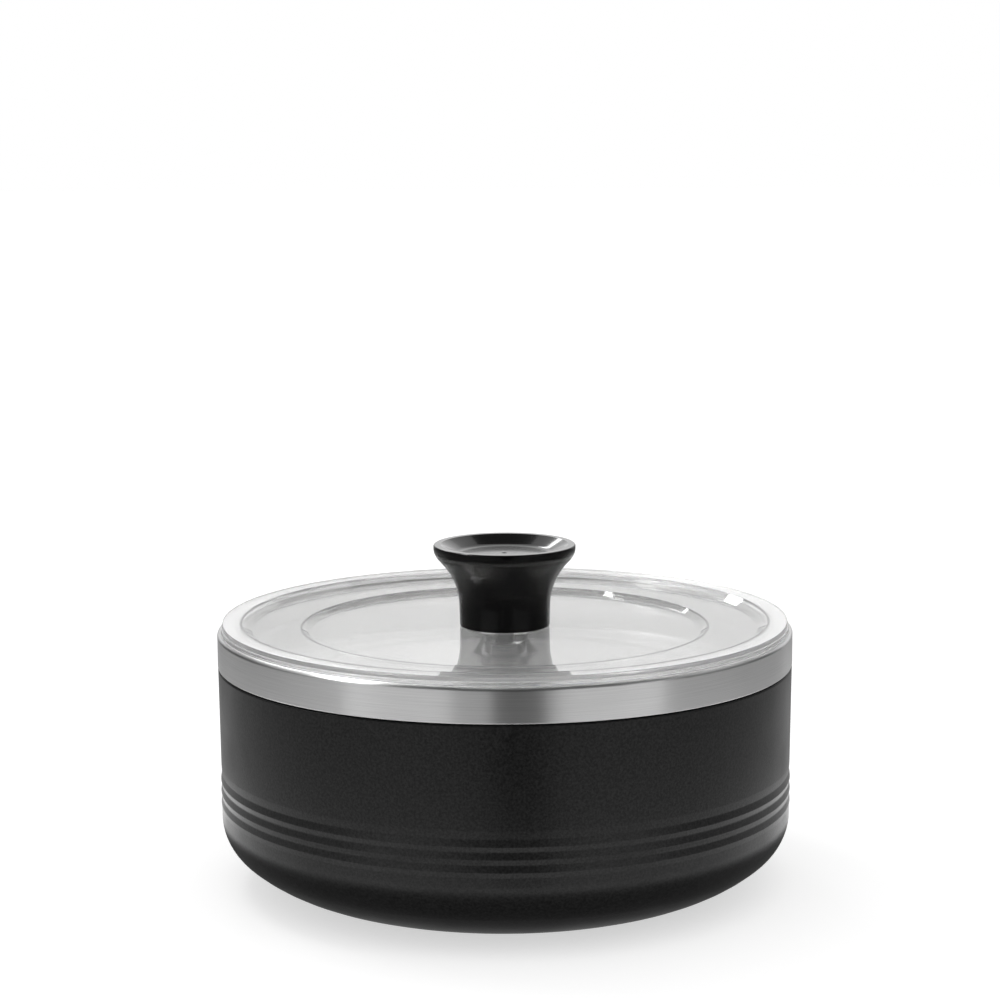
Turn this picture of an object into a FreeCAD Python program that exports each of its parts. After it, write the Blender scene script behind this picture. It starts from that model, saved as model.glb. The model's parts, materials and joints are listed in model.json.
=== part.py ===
import FreeCAD, Part
import math
import os

# Insulated chapati casserole, in millimetres.
# Every piece is turned about +Z. Z = 0 is the plane it stands on.

# ---------------------------------------------------------------- driving sizes

FACE_GAP = 0.03            # between pieces that lie on each other
FIT_GAP = 0.02             # round a piece held in a bore
MIN_FILLET = 0.05          # least round left in an offset corner

# Outer shell: pressed steel, powder coated
SHELL_SHEET = 0.6
WALL_DRAFT = 0.5           # how much narrower the wall is at the beads than at its top
SIDE_ARC = 20.0            # outer radius where the wall turns under
BASE_ARC = 54.0            # flatter outer radius that runs on to the base
UNDER_SLOPE = 50.0         # degrees from upright, of the flat between both arcs
UNDER_FLAT = 1.0           # length of that flat
STAND_WIDTH = 10.0         # flat ring that it stands on
PANEL_RISE = 1.6           # base panel inside the ring, above the table
PANEL_SLOPE_WIDTH = 5.0
PANEL_FILLET = 3.0

# Rolled beads in the shell's wall
BEAD_COUNT = 3
BEAD_TOP_HEIGHT = 43.5     # crest of the highest bead
BEAD_RISE = 0.42           # crests outside the feet between them
BEAD_SINK = 0.2            # feet inside the wall
BEAD_SINK_WIDTH = 3.2      # slope from the wall in to the highest foot
BEAD_UPPER_WIDTH = 2.8     # from each crest up to the foot above it
BEAD_LOWER_WIDTH = 2.0     # from each crest down to the foot below it
BEAD_CREST_ARC = 1.2
BEAD_FOOT_ARC = 2.5

# Rim band: steel collar round the mouth. Its radius sets the size of body and lid.
BAND_RADIUS = 115.2
BAND_PROUD = 0.1           # band's face outside the top of the shell's wall
BAND_TOP = 102.7
BAND_WIDTH = 13.3
BAND_SHEET = 0.5
BAND_SHOULDER = 1.2
BAND_LIP = 6.9             # how far its top lip reaches inwards
BAND_LIP_ROUND = 0.2
HEM_SHEET = 1.0            # folded lower edge, two layers
HEM_WIDTH = 3.0
HEM_ROUND = 0.48           # nearly a full half round at the folded edge
NECK_CLEARANCE = 0.1       # hem to the shell's neck
NECK_STEP = 0.5            # height of the step where the wall necks in
NECK_STEP_DROP = 0.3       # step's top edge, below the band
FLANGE_CLEARANCE = 0.05    # bowl's flange edge to the bend of the band's shoulder

# Inner bowl: stainless steel
RIM_DEPTH = 8.0            # bowl's mouth inside the band's face
BOWL_SHEET = 0.6
BOWL_DRAFT = 1.8           # how much narrower it is at the floor
BOWL_CORNER = 30.0
BOWL_RIM_BEND = 1.2
FLOOR_FOAM = 10.0          # foam under the floor

# Foam and the plug of its filling hole
GLUE_LINE = 0.05
FILL_HOLE_RADIUS = 6.0
PLUG_CLEARANCE = 0.1
PLUG_HEAD_RADIUS = 9.5
PLUG_HEAD_THICKNESS = 1.2
PLUG_HEAD_ROUND = 0.6
PLUG_STEM = 5.0            # stem above the base panel
PLUG_STEM_TAPER = 0.5      # how much narrower it is at its tip
PLUG_TIP_ROUND = 0.5
PLUG_POCKET = 1.0          # room in the foam round the stem

# Lid: two clear mouldings joined at the rim
SEAT_GAP = 0.4             # liner's flange above the band
SEAT_RIB_INSET = 1.5       # rib under the flange, outside the edge of the band's lip
SEAT_RIB_WIDTH = 1.2
FLANGE_THICKNESS = 1.5
FLANGE_INSET = 1.5         # flange's edge inside the band's face
COVER_WALL = 1.9
COVER_INSET = 0.6          # cover's edge inside the flange's
RIM_WIDTH = 7.7            # flat ring round the top
FIRST_SLOPE_WIDTH = 4.2
FIRST_STEP = 2.8
STEP_WIDTH = 19.8          # flat ring between both slopes
SECOND_SLOPE_WIDTH = 2.8
SECOND_STEP = 1.9
STEP_EDGE_ROUND = 0.5      # top edge of each slope
STEP_FILLET = 1.5          # foot of each slope
DISC_CROWN = 0.85          # rise of the middle towards the pad
PAD_INSET = 1.1            # pad's edge inside the knob's foot
PAD_RISE = 0.5
LINER_WALL = 1.5
LINER_CLEARANCE = 0.6      # plug wall to the bowl's mouth
LINER_DEPTH = 13.6         # underside, below the flange
LINER_DRAFT = 0.5
LINER_CORNER = 5.0
LINER_EDGE_ROUND = 2.0
EDGE_ROUND = 0.3
PILLAR_TOP_RADIUS = 11.5
PILLAR_WAIST = 9.2
PILLAR_FOOT_RADIUS = 12.5
PILLAR_SPLIT = 5.3         # waist, above the liner's plate
SCREW_POCKET_CLEARANCE = 0.8
SCREW_POCKET_DEPTH = 4.5

# Knob
KNOB_HEIGHT = 32.95
KNOB_FOOT_RADIUS = 18.1
KNOB_NECK_FLARE = 0.4      # neck's radius over the foot's
KNOB_FLARE_ARC = 26.5
KNOB_SLOPE = 42.0          # degrees from upright
KNOB_RADIUS = 28.5
KNOB_SLOPE_END = 3.9       # end of the slope, below the top
KNOB_LIP_ARC = 6.5
KNOB_LIP_WIDTH = 3.0
KNOB_EDGE_ROUND = 0.7
KNOB_INNER_ROUND = 0.5
KNOB_FOOT_ROUND = 0.5
DISH_DEPTH = 3.8
DISH_RING = 1.7            # dish's floor outside the cap's pocket
DISH_FILLET = 6.0
CAP_RADIUS = 16.8
CAP_THICKNESS = 0.9
CAP_SIDE_CLEARANCE = 0.1
CAP_PROUD = 0.1
CAP_ROUND = 0.3
CAP_SPIGOT_RADIUS = 4.0
CAP_SPIGOT_LENGTH = 3.0
GATE_RADIUS = 1.1          # moulding gate's dimple in the cap's middle
GATE_FLOOR_RADIUS = 0.7
GATE_DEPTH = 0.35

# Screw, insert and washers (M5)
SCREW_RADIUS = 2.5
SCREW_HOLE_CLEARANCE = 0.2
SCREW_HEAD_RADIUS = 4.7
SCREW_HEAD_HEIGHT = 2.2
SCREW_HEAD_ROUND = 1.0
SCREW_IN_KNOB = 10.0
SCREW_TIP_ROUND = 0.8
DRIVE_SLOT_LENGTH = 5.6
DRIVE_SLOT_WIDTH = 1.1
DRIVE_SLOT_DEPTH = 1.3
SEAL_WASHER_OVERLAP = 0.4  # soft washer's edge outside the steel one's
SEAL_WASHER_THICKNESS = 1.0
STEEL_WASHER_OVERLAP = 0.3 # steel washer's edge outside the screw's head
STEEL_WASHER_THICKNESS = 0.8
INSERT_RADIUS = 4.0
INSERT_LENGTH = 12.0
INSERT_FLANGE_RADIUS = 5.5
INSERT_FLANGE_THICKNESS = 1.0
INSERT_GROOVE_COUNT = 2
INSERT_GROOVE_DEPTH = 0.5
INSERT_GROOVE_WIDTH = 2.0

# ---------------------------------------------------------------- worked out

shell_radius = BAND_RADIUS - BAND_PROUD
waist_radius = shell_radius - WALL_DRAFT
mouth_radius = BAND_RADIUS - RIM_DEPTH
lip_radius = BAND_RADIUS - BAND_LIP
flange_radius = BAND_RADIUS - FLANGE_INSET
cover_radius = flange_radius - COVER_INSET
rim_inner_radius = cover_radius - RIM_WIDTH
step_outer_radius = rim_inner_radius - FIRST_SLOPE_WIDTH
step_inner_radius = step_outer_radius - STEP_WIDTH
pad_radius = KNOB_FOOT_RADIUS - PAD_INSET
steel_washer_radius = SCREW_HEAD_RADIUS + STEEL_WASHER_OVERLAP
seal_washer_radius = steel_washer_radius + SEAL_WASHER_OVERLAP
screw_pocket_radius = seal_washer_radius + SCREW_POCKET_CLEARANCE
screw_hole_radius = SCREW_RADIUS + SCREW_HOLE_CLEARANCE

band_bottom = BAND_TOP - BAND_WIDTH
bowl_flange_top = BAND_TOP - BAND_SHEET - FACE_GAP
bowl_flange_bottom = bowl_flange_top - BOWL_SHEET
rib_bottom = BAND_TOP + FACE_GAP
flange_underside = BAND_TOP + SEAT_GAP
flange_top = flange_underside + FLANGE_THICKNESS
cover_underside = flange_top + FACE_GAP
rim_top = cover_underside + COVER_WALL
step_top = rim_top - FIRST_STEP
disc_top = step_top - SECOND_STEP
crown_top = disc_top + DISC_CROWN
pad_top = crown_top + PAD_RISE
knob_foot = pad_top + FACE_GAP
knob_top = knob_foot + KNOB_HEIGHT
liner_underside = flange_underside - LINER_DEPTH
plate_top = liner_underside + LINER_WALL
pillar_split = plate_top + PILLAR_SPLIT
pocket_ceiling = liner_underside + SCREW_POCKET_DEPTH
seal_washer_top = pocket_ceiling - FACE_GAP
seal_washer_bottom = seal_washer_top - SEAL_WASHER_THICKNESS
steel_washer_top = seal_washer_bottom - FACE_GAP
steel_washer_bottom = steel_washer_top - STEEL_WASHER_THICKNESS


# ---------------------------------------------------------------- outline tools
# An outline is a list of corners (radius, height, fillet) in the half plane X, Z.

TINY = 1e-6                # shortest edge or vector that counts


def turn_angle(before, corner, after):
    """Signed turn at a corner, positive when it turns left."""
    into = (corner[0] - before[0], corner[1] - before[1])
    out = (after[0] - corner[0], after[1] - corner[1])
    cross = into[0] * out[1] - into[1] * out[0]
    dot = into[0] * out[0] + into[1] * out[1]
    return math.atan2(cross, dot)


def unit(start, end):
    length = math.hypot(end[0] - start[0], end[1] - start[1])
    return ((end[0] - start[0]) / length, (end[1] - start[1]) / length)


def offset_chain(chain, distance):
    """The same open chain moved to its left by distance, with its fillets kept concentric."""
    moved = []
    last = len(chain) - 1
    for index, corner in enumerate(chain):
        into = unit(chain[index - 1], corner) if index > 0 else None
        out = unit(corner, chain[index + 1]) if index < last else None
        if into is None or out is None:
            along = out if into is None else into
            shift = (-along[1] * distance, along[0] * distance)
            fillet = 0.0
        else:
            turn = turn_angle(chain[index - 1], corner, chain[index + 1])
            reach = distance * math.tan(turn / 2)
            shift = (-into[1] * distance - into[0] * reach,
                     into[0] * distance - into[1] * reach)
            fillet = corner[2]
            if fillet > 0:
                fillet = max(fillet - math.copysign(distance, turn * distance), MIN_FILLET)
        moved.append((corner[0] + shift[0], corner[1] + shift[1], fillet))
    return moved


def sheet(chain, distance):
    """Closed outline of a wall of even thickness on the left of a chain."""
    return chain + offset_chain(chain, distance)[::-1]


def point(radius, height):
    return FreeCAD.Vector(radius, 0, height)


def outline_wire(corners):
    """Closed wire with a tangent arc at each corner that has a fillet."""
    count = len(corners)
    starts = []
    ends = []
    middles = []
    for index, corner in enumerate(corners):
        before = corners[index - 1]
        after = corners[(index + 1) % count]
        into = unit(before, corner)
        out = unit(corner, after)
        turn = turn_angle(before, corner, after)
        reach = corner[2] * abs(math.tan(turn / 2))
        starts.append(point(corner[0] - into[0] * reach, corner[1] - into[1] * reach))
        ends.append(point(corner[0] + out[0] * reach, corner[1] + out[1] * reach))
        inward = (out[0] - into[0], out[1] - into[1])
        size = math.hypot(inward[0], inward[1])
        depth = corner[2] * (1 / math.cos(turn / 2) - 1)
        scale = depth / size if size > TINY else 0.0
        middles.append(point(corner[0] + inward[0] * scale, corner[1] + inward[1] * scale))
    edges = []
    for index in range(count):
        if (ends[index] - starts[index]).Length > TINY:
            edges.append(Part.Arc(starts[index], middles[index], ends[index]).toShape())
        following = starts[(index + 1) % count]
        if (following - ends[index]).Length > TINY:
            edges.append(Part.LineSegment(ends[index], following).toShape())
    return Part.Wire(edges)


def turned(corners):
    """Solid of revolution about +Z."""
    face = Part.Face(outline_wire(corners))
    solid = face.revolve(FreeCAD.Vector(0, 0, 0), FreeCAD.Vector(0, 0, 1), 360)
    if solid.Volume < 0:
        solid.reverse()
    return solid


def ring(inner, outer, bottom, top):
    """Round ring or washer."""
    return turned([(inner, bottom, 0.0), (outer, bottom, 0.0),
                   (outer, top, 0.0), (inner, top, 0.0)])


def disc(radius, bottom, top):
    return Part.makeCylinder(radius, top - bottom, FreeCAD.Vector(0, 0, bottom))


def save(name, shape):
    if not shape.isValid():
        raise ValueError(name + " isn't a valid solid")
    shape.exportStep(os.path.join("parts", name + ".step"))


# ---------------------------------------------------------------- shared chains

def shell_chain():
    """Outside of the shell, from the base's centre out and up to its top edge."""
    slope = math.radians(UNDER_SLOPE)
    side_reach = SIDE_ARC * math.tan(slope / 2)
    base_reach = BASE_ARC * math.tan((math.pi / 2 - slope) / 2)
    under = side_reach + UNDER_FLAT + base_reach
    base_corner = waist_radius - under * math.sin(slope)
    stand_inner = base_corner - base_reach - STAND_WIDTH
    chain = [(0.0, PANEL_RISE, 0.0),
             (stand_inner - PANEL_SLOPE_WIDTH, PANEL_RISE, PANEL_FILLET),
             (stand_inner, 0.0, PANEL_FILLET),
             (base_corner, 0.0, BASE_ARC),
             (waist_radius, under * math.cos(slope), SIDE_ARC)]
    pitch = BEAD_UPPER_WIDTH + BEAD_LOWER_WIDTH
    lowest_crest = BEAD_TOP_HEIGHT - (BEAD_COUNT - 1) * pitch
    chain.append((waist_radius, lowest_crest - BEAD_LOWER_WIDTH, BEAD_FOOT_ARC))
    foot_radius = waist_radius - BEAD_SINK
    for index in range(BEAD_COUNT):
        crest = lowest_crest + index * pitch
        chain += [(foot_radius + BEAD_RISE, crest, BEAD_CREST_ARC),
                  (foot_radius, crest + BEAD_UPPER_WIDTH, BEAD_FOOT_ARC)]
    sink_top = BEAD_TOP_HEIGHT + BEAD_UPPER_WIDTH + BEAD_SINK_WIDTH
    chain.append((waist_radius, sink_top, BEAD_FOOT_ARC))
    neck_radius = BAND_RADIUS - HEM_SHEET - NECK_CLEARANCE
    step_height = band_bottom - NECK_STEP_DROP
    step_round = (shell_radius - neck_radius) / 2
    chain += [(shell_radius, step_height - NECK_STEP, step_round),
              (neck_radius, step_height, step_round),
              (neck_radius, bowl_flange_bottom - FACE_GAP, 0.0)]
    return chain


def bowl_chain():
    """Inside of the bowl, from the floor's centre out, up and over its flange."""
    floor = PANEL_RISE + SHELL_SHEET + FLOOR_FOAM + BOWL_SHEET
    flange_edge = BAND_RADIUS - BAND_SHOULDER - FLANGE_CLEARANCE
    return [(0.0, floor, 0.0),
            (mouth_radius - BOWL_DRAFT, floor, BOWL_CORNER),
            (mouth_radius, bowl_flange_top, BOWL_RIM_BEND),
            (flange_edge, bowl_flange_top, 0.0)]


# ---------------------------------------------------------------- body

def outer_shell():
    """Black shell with a rounded bottom, three beads and a neck under the band."""
    shell = turned(sheet(shell_chain(), SHELL_SHEET))
    hole = disc(FILL_HOLE_RADIUS, PANEL_RISE, PANEL_RISE + SHELL_SHEET)
    return shell.cut(hole)


def inner_bowl():
    """Stainless bowl; its flange lies on the shell's top edge."""
    return turned(sheet(bowl_chain(), -BOWL_SHEET))


def rim_band():
    """Collar with a top lip over the bowl's flange and a folded lower edge."""
    inner = BAND_RADIUS - BAND_SHEET
    hem = BAND_RADIUS - HEM_SHEET
    fold_round = (HEM_SHEET - BAND_SHEET) / 2
    return turned([(lip_radius, BAND_TOP, BAND_LIP_ROUND),
                   (lip_radius, BAND_TOP - BAND_SHEET, BAND_LIP_ROUND),
                   (inner, BAND_TOP - BAND_SHEET, BAND_SHOULDER - BAND_SHEET),
                   (inner, band_bottom + HEM_WIDTH, 0.0),
                   (hem, band_bottom + HEM_WIDTH, fold_round),
                   (hem, band_bottom, HEM_ROUND),
                   (BAND_RADIUS, band_bottom, HEM_ROUND),
                   (BAND_RADIUS, BAND_TOP, BAND_SHOULDER)])


def insulation_foam():
    """Foam that fills the space between shell and bowl, with a pocket for the plug."""
    inside_shell = offset_chain(shell_chain(), SHELL_SHEET + GLUE_LINE)
    under_bowl = offset_chain(bowl_chain(), -BOWL_SHEET - GLUE_LINE)
    neck_radius = inside_shell[-1][0]
    inside_shell[-1] = (neck_radius, bowl_flange_bottom - GLUE_LINE, 0.0)
    foam = turned(inside_shell + under_bowl[:-1][::-1])
    pocket_top = PANEL_RISE + SHELL_SHEET + PLUG_STEM + PLUG_POCKET
    return foam.cut(disc(FILL_HOLE_RADIUS + PLUG_POCKET, 0.0, pocket_top))


def filler_plug():
    """Push-in plug: a flat head under the base panel and a tapered stem in the foam."""
    stem = FILL_HOLE_RADIUS - PLUG_CLEARANCE
    stem_top = PANEL_RISE + SHELL_SHEET + PLUG_STEM
    head_top = PANEL_RISE - FACE_GAP
    head_bottom = head_top - PLUG_HEAD_THICKNESS
    return turned([(0.0, head_bottom, 0.0),
                   (PLUG_HEAD_RADIUS, head_bottom, PLUG_HEAD_ROUND),
                   (PLUG_HEAD_RADIUS, head_top, 0.0),
                   (stem, head_top, 0.0),
                   (stem, head_top + FACE_GAP + SHELL_SHEET, 0.0),
                   (stem - PLUG_STEM_TAPER, stem_top, PLUG_TIP_ROUND),
                   (0.0, stem_top, 0.0)])


# ---------------------------------------------------------------- lid

def cover_top_chain():
    """Top of the cover, from its rim in over both slopes to the pad's foot."""
    return [(cover_radius, rim_top, 0.0),
            (rim_inner_radius, rim_top, STEP_EDGE_ROUND),
            (step_outer_radius, step_top, STEP_FILLET),
            (step_inner_radius, step_top, STEP_EDGE_ROUND),
            (step_inner_radius - SECOND_SLOPE_WIDTH, disc_top, STEP_FILLET),
            (pad_radius, crown_top, 0.0)]


def lid_cover():
    """Clear plate with two steps down, a low pad for the knob and half of the pillar."""
    top = cover_top_chain()
    under = offset_chain(top, COVER_WALL)
    corners = [(cover_radius, rim_top, EDGE_ROUND)] + top[1:]
    corners += [(pad_radius, pad_top, EDGE_ROUND),
                (screw_hole_radius, pad_top, 0.0),
                (screw_hole_radius, pillar_split + FACE_GAP, 0.0),
                (PILLAR_WAIST, pillar_split + FACE_GAP, EDGE_ROUND),
                (PILLAR_TOP_RADIUS, crown_top - COVER_WALL, STEP_FILLET)]
    corners += under[1:-1][::-1]
    corners += [(cover_radius, cover_underside, EDGE_ROUND)]
    return turned(corners)


def lid_liner():
    """Clear dish whose plug wall enters the mouth. A rib under its flange sits on the band."""
    plug = mouth_radius - LINER_CLEARANCE
    inside = plug - LINER_WALL
    rib = lip_radius + SEAT_RIB_INSET
    return turned([(flange_radius, flange_top, EDGE_ROUND),
                   (inside, flange_top, LINER_EDGE_ROUND),
                   (inside - LINER_DRAFT, plate_top, LINER_CORNER - LINER_WALL),
                   (PILLAR_FOOT_RADIUS, plate_top, STEP_FILLET),
                   (PILLAR_WAIST, pillar_split, EDGE_ROUND),
                   (screw_hole_radius, pillar_split, 0.0),
                   (screw_hole_radius, pocket_ceiling, 0.0),
                   (screw_pocket_radius, pocket_ceiling, EDGE_ROUND),
                   (screw_pocket_radius, liner_underside, EDGE_ROUND),
                   (plug - LINER_DRAFT, liner_underside, LINER_CORNER),
                   (plug, flange_underside, EDGE_ROUND),
                   (rib, flange_underside, 0.0),
                   (rib, rib_bottom, 0.0),
                   (rib + SEAT_RIB_WIDTH, rib_bottom, 0.0),
                   (rib + SEAT_RIB_WIDTH, flange_underside, 0.0),
                   (flange_radius, flange_underside, EDGE_ROUND)])


def knob_body():
    """Flared knob with a rounded lip and a dished top, bored for the insert and the cap."""
    slope = math.radians(KNOB_SLOPE)
    neck_radius = KNOB_FOOT_RADIUS + KNOB_NECK_FLARE
    slope_end = knob_top - KNOB_SLOPE_END
    slope_start = slope_end - (KNOB_RADIUS - neck_radius) / math.tan(slope)
    dish_floor = knob_top - DISH_DEPTH
    pocket_radius = CAP_RADIUS + CAP_SIDE_CLEARANCE
    pocket_floor = dish_floor + CAP_PROUD - CAP_THICKNESS - FACE_GAP
    spigot_radius = CAP_SPIGOT_RADIUS + CAP_SIDE_CLEARANCE
    spigot_floor = pocket_floor - CAP_SPIGOT_LENGTH - CAP_SIDE_CLEARANCE
    body = turned([(0.0, knob_foot, 0.0),
                   (KNOB_FOOT_RADIUS, knob_foot, KNOB_FOOT_ROUND),
                   (neck_radius, slope_start, KNOB_FLARE_ARC),
                   (KNOB_RADIUS, slope_end, KNOB_LIP_ARC),
                   (KNOB_RADIUS, knob_top, KNOB_EDGE_ROUND),
                   (KNOB_RADIUS - KNOB_LIP_WIDTH, knob_top, KNOB_INNER_ROUND),
                   (pocket_radius + DISH_RING, dish_floor, DISH_FILLET),
                   (pocket_radius, dish_floor, 0.0),
                   (pocket_radius, pocket_floor, 0.0),
                   (spigot_radius, pocket_floor, 0.0),
                   (spigot_radius, spigot_floor, 0.0),
                   (0.0, spigot_floor, 0.0)])
    bore = disc(INSERT_RADIUS + FIT_GAP, pad_top, knob_foot + INSERT_LENGTH + FACE_GAP)
    seat = disc(INSERT_FLANGE_RADIUS + FIT_GAP, pad_top,
                knob_foot + INSERT_FLANGE_THICKNESS + FACE_GAP)
    return body.cut(bore).cut(seat)


def knob_cap():
    """Disc let into the dish, held by a spigot, with the dimple of its moulding gate."""
    top = knob_top - DISH_DEPTH + CAP_PROUD
    underside = top - CAP_THICKNESS
    tip = underside - CAP_SPIGOT_LENGTH
    return turned([(0.0, tip, 0.0),
                   (CAP_SPIGOT_RADIUS, tip, CAP_ROUND),
                   (CAP_SPIGOT_RADIUS, underside, 0.0),
                   (CAP_RADIUS, underside, 0.0),
                   (CAP_RADIUS, top, CAP_ROUND),
                   (GATE_RADIUS, top, 0.0),
                   (GATE_FLOOR_RADIUS, top - GATE_DEPTH, 0.0),
                   (0.0, top - GATE_DEPTH, 0.0)])


def knob_insert():
    """Brass bush with two grooves, so the moulded knob grips it."""
    bore = SCREW_RADIUS + FIT_GAP
    bush = ring(bore, INSERT_RADIUS, knob_foot, knob_foot + INSERT_LENGTH)
    bush = bush.fuse(ring(bore, INSERT_FLANGE_RADIUS,
                          knob_foot, knob_foot + INSERT_FLANGE_THICKNESS))
    pitch = (INSERT_LENGTH - INSERT_FLANGE_THICKNESS) / (INSERT_GROOVE_COUNT + 1)
    for index in range(1, INSERT_GROOVE_COUNT + 1):
        low = knob_foot + INSERT_FLANGE_THICKNESS + pitch * index - INSERT_GROOVE_WIDTH / 2
        bush = bush.cut(ring(INSERT_RADIUS - INSERT_GROOVE_DEPTH, INSERT_FLANGE_RADIUS,
                             low, low + INSERT_GROOVE_WIDTH))
    return bush.removeSplitter()


def knob_screw():
    """Pan-head screw with a crossed drive, from under the liner up into the insert."""
    head_top = steel_washer_bottom - FACE_GAP
    head_bottom = head_top - SCREW_HEAD_HEIGHT
    tip = knob_foot + SCREW_IN_KNOB
    screw = turned([(0.0, head_bottom, 0.0),
                    (SCREW_HEAD_RADIUS, head_bottom, SCREW_HEAD_ROUND),
                    (SCREW_HEAD_RADIUS, head_top, 0.0),
                    (SCREW_RADIUS, head_top, 0.0),
                    (SCREW_RADIUS, tip, SCREW_TIP_ROUND),
                    (0.0, tip, 0.0)])
    for length, width in ((DRIVE_SLOT_LENGTH, DRIVE_SLOT_WIDTH),
                          (DRIVE_SLOT_WIDTH, DRIVE_SLOT_LENGTH)):
        corner = FreeCAD.Vector(-length / 2, -width / 2, head_bottom)
        screw = screw.cut(Part.makeBox(length, width, DRIVE_SLOT_DEPTH, corner))
    return screw


def screw_washer():
    """Steel washer under the screw's head."""
    return ring(screw_hole_radius, steel_washer_radius, steel_washer_bottom, steel_washer_top)


def seal_washer():
    """Soft washer between the steel washer and the liner."""
    return ring(screw_hole_radius, seal_washer_radius, seal_washer_bottom, seal_washer_top)


PIECES = (outer_shell, inner_bowl, rim_band, insulation_foam, filler_plug,
          lid_cover, lid_liner, knob_body, knob_cap, knob_insert, knob_screw,
          screw_washer, seal_washer)

os.makedirs("parts", exist_ok=True)
for piece in PIECES:
    save(piece.__name__, piece())
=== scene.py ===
import json
import math

import bpy
import numpy as np
from mathutils import Matrix, Vector

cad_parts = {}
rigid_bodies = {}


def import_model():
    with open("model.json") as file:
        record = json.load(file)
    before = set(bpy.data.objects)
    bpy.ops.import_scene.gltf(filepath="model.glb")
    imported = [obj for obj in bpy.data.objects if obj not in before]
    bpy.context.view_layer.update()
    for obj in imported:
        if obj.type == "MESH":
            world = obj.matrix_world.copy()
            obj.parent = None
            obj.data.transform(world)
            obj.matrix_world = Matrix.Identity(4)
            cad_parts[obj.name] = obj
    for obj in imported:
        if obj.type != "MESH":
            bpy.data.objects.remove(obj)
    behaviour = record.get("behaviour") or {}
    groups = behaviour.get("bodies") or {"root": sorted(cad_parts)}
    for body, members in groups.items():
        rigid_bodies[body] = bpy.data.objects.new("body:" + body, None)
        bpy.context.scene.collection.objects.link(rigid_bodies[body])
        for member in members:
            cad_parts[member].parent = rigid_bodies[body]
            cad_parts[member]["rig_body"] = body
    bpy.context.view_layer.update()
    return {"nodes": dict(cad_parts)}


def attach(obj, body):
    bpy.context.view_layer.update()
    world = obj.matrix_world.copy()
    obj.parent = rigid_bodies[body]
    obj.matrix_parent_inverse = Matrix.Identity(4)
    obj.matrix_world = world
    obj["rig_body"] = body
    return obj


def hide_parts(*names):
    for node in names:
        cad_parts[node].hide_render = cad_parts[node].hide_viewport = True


# Looks of a round insulated casserole with a clear lift-off lid. Outlines are in
# millimetres, as (radius, height, fillet) in the half plane X, Z; meshes are in metres.

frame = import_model()

MM = 0.001
TURNS = 256                     # facets round the axis
ARC_STEP = math.radians(5)      # most that an outline's arc turns in one facet

# Shell, band and bowl
SHELL_SHEET = 0.6
WALL_DRAFT = 0.5
SIDE_ARC = 20.0
BASE_ARC = 54.0
UNDER_SLOPE = math.radians(50)
UNDER_FLAT = 1.0
STAND_WIDTH = 10.0
PANEL_RISE = 1.6
PANEL_SLOPE_WIDTH = 5.0
PANEL_FILLET = 3.0
FILL_HOLE_RADIUS = 6.0
BEAD_COUNT = 3
BEAD_TOP_HEIGHT = 43.5
BEAD_RISE = 0.42
BEAD_SINK = 0.2
BEAD_SINK_WIDTH = 3.2
BEAD_UPPER_WIDTH = 2.8
BEAD_LOWER_WIDTH = 2.0
BEAD_CREST_ARC = 1.2
BEAD_FOOT_ARC = 2.5
NECK_STEP = 0.5
NECK_STEP_DROP = 0.3
NECK_CLEARANCE = 0.1
BAND_RADIUS = 115.2
BAND_PROUD = 0.1
BAND_TOP = 102.7
BAND_WIDTH = 13.3
BAND_SHEET = 0.5
BAND_SHOULDER = 1.2
BAND_LIP = 6.9
BAND_LIP_ROUND = 0.2
HEM_SHEET = 1.0
HEM_WIDTH = 3.0
HEM_ROUND = 0.48
RIM_DEPTH = 8.0
BOWL_SHEET = 0.6
BOWL_DRAFT = 1.8
BOWL_CORNER = 30.0
BOWL_RIM_BEND = 1.2
FLOOR_FOAM = 10.0
FACE_GAP = 0.03
FLANGE_CLEARANCE = 0.05

# Lid
SEAT_GAP = 0.4
SEAT_RIB_INSET = 1.5
SEAT_RIB_WIDTH = 1.2
FLANGE_THICKNESS = 1.5
FLANGE_INSET = 1.5
COVER_WALL = 1.9
COVER_INSET = 0.6
RIM_WIDTH = 7.7
FIRST_SLOPE_WIDTH = 4.2
FIRST_STEP = 2.8
STEP_WIDTH = 19.8
SECOND_SLOPE_WIDTH = 2.8
SECOND_STEP = 1.9
STEP_EDGE_ROUND = 0.5
STEP_FILLET = 1.5
DISC_CROWN = 0.85
PAD_RADIUS = 17.0
PAD_RISE = 0.5
LINER_WALL = 1.5
LINER_CLEARANCE = 0.6
LINER_DEPTH = 13.6
LINER_DRAFT = 0.5
LINER_CORNER = 5.0
LINER_EDGE_ROUND = 2.0
EDGE_ROUND = 0.3
PILLAR_TOP_RADIUS = 11.5
PILLAR_WAIST = 9.2
PILLAR_FOOT_RADIUS = 12.5
PILLAR_SPLIT = 5.3
SCREW_HOLE_RADIUS = 2.7
SCREW_POCKET_RADIUS = 6.2
SCREW_POCKET_DEPTH = 4.5

# Knob
KNOB_HEIGHT = 32.95
KNOB_FOOT_RADIUS = 18.1
KNOB_FOOT_ROUND = 0.5
KNOB_NECK_RADIUS = 18.5
KNOB_FLARE_ARC = 26.5
KNOB_SLOPE = math.radians(42)
KNOB_RADIUS = 28.5
KNOB_SLOPE_END = 3.9
KNOB_LIP_ARC = 6.5
KNOB_LIP_WIDTH = 3.0
KNOB_EDGE_ROUND = 0.7
KNOB_INNER_ROUND = 0.5
DISH_DEPTH = 3.8
DISH_FLOOR_RADIUS = 18.6
DISH_FILLET = 6.0
CAP_RADIUS = 16.8
CAP_CLEARANCE = 0.1
CAP_THICKNESS = 0.9
CAP_PROUD = 0.1
CAP_ROUND = 0.3
CAP_SPIGOT_RADIUS = 4.0
CAP_SPIGOT_LENGTH = 3.0
GATE_RADIUS = 1.1
GATE_FLOOR_RADIUS = 0.7
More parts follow.
